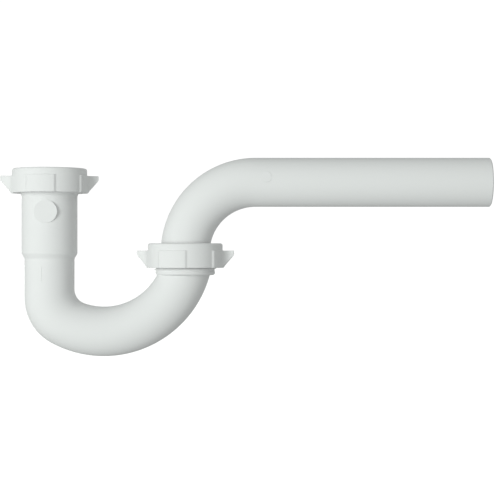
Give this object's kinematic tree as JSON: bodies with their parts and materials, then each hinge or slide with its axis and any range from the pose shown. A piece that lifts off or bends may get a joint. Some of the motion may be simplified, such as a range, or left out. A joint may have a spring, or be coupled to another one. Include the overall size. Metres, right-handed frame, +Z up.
{
  "type": "p trap",
  "caption": "White tubular plastic sink trap: a J-bend with a socket inlet, a curved trap arm, and a winged slip nut with a tapered washer at each joint.",
  "frame": {"origin": "on the inlet's vertical axis, where the socket's parallel bore meets the washer seat above it", "axes": "+Z up along the inlet's axis, towards the sink; +X along the trap arm towards the wall; +Y away from the viewer, so the trap's face is its -Y side"},
  "size_m": [0.3804, 0.0598, 0.1541],
  "materials": {
    "tube_plastic": "satin white moulded polypropylene",
    "nut_plastic": "satin white moulded polypropylene",
    "washer_plastic": "natural soft polyethylene"
  },
  "bodies": {
    "arm": {"trap_arm": "tube_plastic"},
    "swivel": {"outlet_washer": "washer_plastic"},
    "lower_nut": {"outlet_nut": "nut_plastic"},
    "bend": {"j_bend": "tube_plastic"},
    "lift": {"inlet_washer": "washer_plastic"},
    "upper_nut": {"inlet_nut": "nut_plastic"}
  },
  "joints": [
    {"name": "j_bend_swing", "type": "hinge", "parent": "arm", "child": "swivel", "pos_m": [0.1055, 0, -0.0565], "axis": [0, 0, 1], "range_deg": [-140, 140]},
    {"name": "outlet_nut_unscrew", "type": "hinge", "parent": "swivel", "child": "lower_nut", "pos_m": [0.1055, 0, -0.0565], "axis": [0, 0, 1], "range_deg": [0, 1800]},
    {"name": "j_bend_drop", "type": "slide", "parent": "swivel", "child": "bend", "axis": [0, 0, -1], "range_m": [0, 0.01105]},
    {"name": "inlet_washer_lift", "type": "slide", "parent": "bend", "child": "lift", "axis": [0, 0, 1], "range_m": [0, 0.01105]},
    {"name": "inlet_nut_unscrew", "type": "hinge", "parent": "lift", "child": "upper_nut", "pos_m": [0, 0, 0], "axis": [0, 0, 1], "range_deg": [0, 1800]}
  ],
  "couplings": [
    {"joint": "j_bend_drop", "follows": "outlet_nut_unscrew", "m_per_rad": 0.00035153},
    {"joint": "inlet_washer_lift", "follows": "inlet_nut_unscrew", "m_per_rad": 0.00035153}
  ]
}
